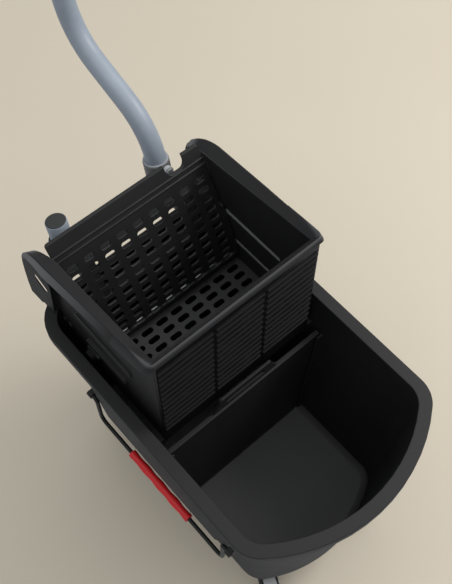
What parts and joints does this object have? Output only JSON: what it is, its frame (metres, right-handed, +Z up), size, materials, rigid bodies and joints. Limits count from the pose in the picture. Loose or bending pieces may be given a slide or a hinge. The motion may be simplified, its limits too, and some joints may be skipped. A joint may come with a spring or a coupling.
{
  "type": "mop bucket trolley",
  "caption": "Wheeled D-fronted mop bucket with a lift-out divider, a hook-on jaw wringer worked by a bent tube lever, side bails with moulded grips and swivel castors.",
  "frame": {"origin": "on the floor under the middle of the bounding box", "axes": "+X to the right, +Y from the bowed front to the wringer's hooks at the back, +Z up"},
  "size_m": [0.3246, 0.7161, 0.8442],
  "materials": {
    "bucket_plastic": "satin moulded",
    "wringer_plastic": "satin moulded",
    "bright_steel": "plated",
    "dark_grey_plastic": "satin",
    "tube_paint": "powder coat",
    "collar_plastic": "satin",
    "pale_plastic": "satin",
    "wire_paint": "black coated wire",
    "red_plastic": "moulded",
    "castor_plastic": "satin",
    "hub_plastic": "satin",
    "tyre_rubber": "light grey rubber"
  },
  "bodies": {
    "bucket": {"bucket_shell": "bucket_plastic", "castor_stem_front_left": "bright_steel", "castor_stem_front_right": "bright_steel", "castor_stem_back_left": "bright_steel", "castor_stem_back_right": "bright_steel"},
    "divider": {"divider_panel": "bucket_plastic"},
    "wringer": {"left_cheek": "wringer_plastic", "right_cheek": "wringer_plastic", "louvre_front": "wringer_plastic", "sieve_floor": "wringer_plastic", "rear_beam": "wringer_plastic", "pivot_rod": "bright_steel", "rod_caps": "dark_grey_plastic", "beam_screws": "bright_steel"},
    "press": {"press_jaw": "wringer_plastic", "press_yoke": "wringer_plastic", "spare_post": "tube_paint", "post_cap": "dark_grey_plastic", "lever_collar": "collar_plastic", "collar_ring": "pale_plastic", "lever_lock": "pale_plastic", "lever_tube": "tube_paint", "lever_grip": "dark_grey_plastic"},
    "bail_left": {"bail_wire_left": "wire_paint", "bail_grip_left": "red_plastic"},
    "bail_right": {"bail_wire_right": "wire_paint", "bail_grip_right": "red_plastic"},
    "castor_front_left": {"castor_fork_front_left": "castor_plastic", "castor_axle_front_left": "bright_steel"},
    "wheel_front_left": {"castor_hub_front_left": "hub_plastic", "castor_tyre_front_left": "tyre_rubber"},
    "castor_front_right": {"castor_fork_front_right": "castor_plastic", "castor_axle_front_right": "bright_steel"},
    "wheel_front_right": {"castor_hub_front_right": "hub_plastic", "castor_tyre_front_right": "tyre_rubber"},
    "castor_back_left": {"castor_fork_back_left": "castor_plastic", "castor_axle_back_left": "bright_steel"},
    "wheel_back_left": {"castor_hub_back_left": "hub_plastic", "castor_tyre_back_left": "tyre_rubber"},
    "castor_back_right": {"castor_fork_back_right": "castor_plastic", "castor_axle_back_right": "bright_steel"},
    "wheel_back_right": {"castor_hub_back_right": "hub_plastic", "castor_tyre_back_right": "tyre_rubber"}
  },
  "joints": [
    {"name": "divider_lift", "type": "slide", "parent": "bucket", "child": "divider", "axis": [0, 0, 1], "range_m": [0, 0.3]},
    {"name": "wringer_lift", "type": "slide", "parent": "bucket", "child": "wringer", "axis": [0, 0, 1], "range_m": [0, 0.15]},
    {"name": "press_swing", "type": "hinge", "parent": "wringer", "child": "press", "pos_m": [0, 0.02687, 0.337], "axis": [1, 0, 0], "range_deg": [0, 50]},
    {"name": "bail_left_swing", "type": "hinge", "parent": "bucket", "child": "bail_left", "pos_m": [-0.1565, -0.14113, 0.322], "axis": [0, 1, 0], "range_deg": [0, 150]},
    {"name": "bail_right_swing", "type": "hinge", "parent": "bucket", "child": "bail_right", "pos_m": [0.1565, -0.14113, 0.322], "axis": [0, -1, 0], "range_deg": [0, 150]},
    {"name": "castor_front_left_swivel", "type": "hinge", "parent": "bucket", "child": "castor_front_left", "pos_m": [-0.086, -0.27113, 0.051], "axis": [0, 0, 1], "continuous": true},
    {"name": "wheel_front_left_roll", "type": "hinge", "parent": "castor_front_left", "child": "wheel_front_left", "pos_m": [-0.09284, -0.28993, 0.0225], "axis": [-0.9397, 0.342, 0], "continuous": true},
    {"name": "castor_front_right_swivel", "type": "hinge", "parent": "bucket", "child": "castor_front_right", "pos_m": [0.086, -0.27113, 0.051], "axis": [0, 0, 1], "continuous": true},
    {"name": "wheel_front_right_roll", "type": "hinge", "parent": "castor_front_right", "child": "wheel_front_right", "pos_m": [0.09284, -0.28993, 0.0225], "axis": [-0.9397, -0.342, 0], "continuous": true},
    {"name": "castor_back_left_swivel", "type": "hinge", "parent": "bucket", "child": "castor_back_left", "pos_m": [-0.086, 0.04487, 0.051], "axis": [0, 0, 1], "continuous": true},
    {"name": "wheel_back_left_roll", "type": "hinge", "parent": "castor_back_left", "child": "wheel_back_left", "pos_m": [-0.086, 0.06487, 0.0225], "axis": [1, 0, 0], "continuous": true},
    {"name": "castor_back_right_swivel", "type": "hinge", "parent": "bucket", "child": "castor_back_right", "pos_m": [0.086, 0.04487, 0.051], "axis": [0, 0, 1], "continuous": true},
    {"name": "wheel_back_right_roll", "type": "hinge", "parent": "castor_back_right", "child": "wheel_back_right", "pos_m": [0.086, 0.06487, 0.0225], "axis": [1, 0, 0], "continuous": true}
  ]
}
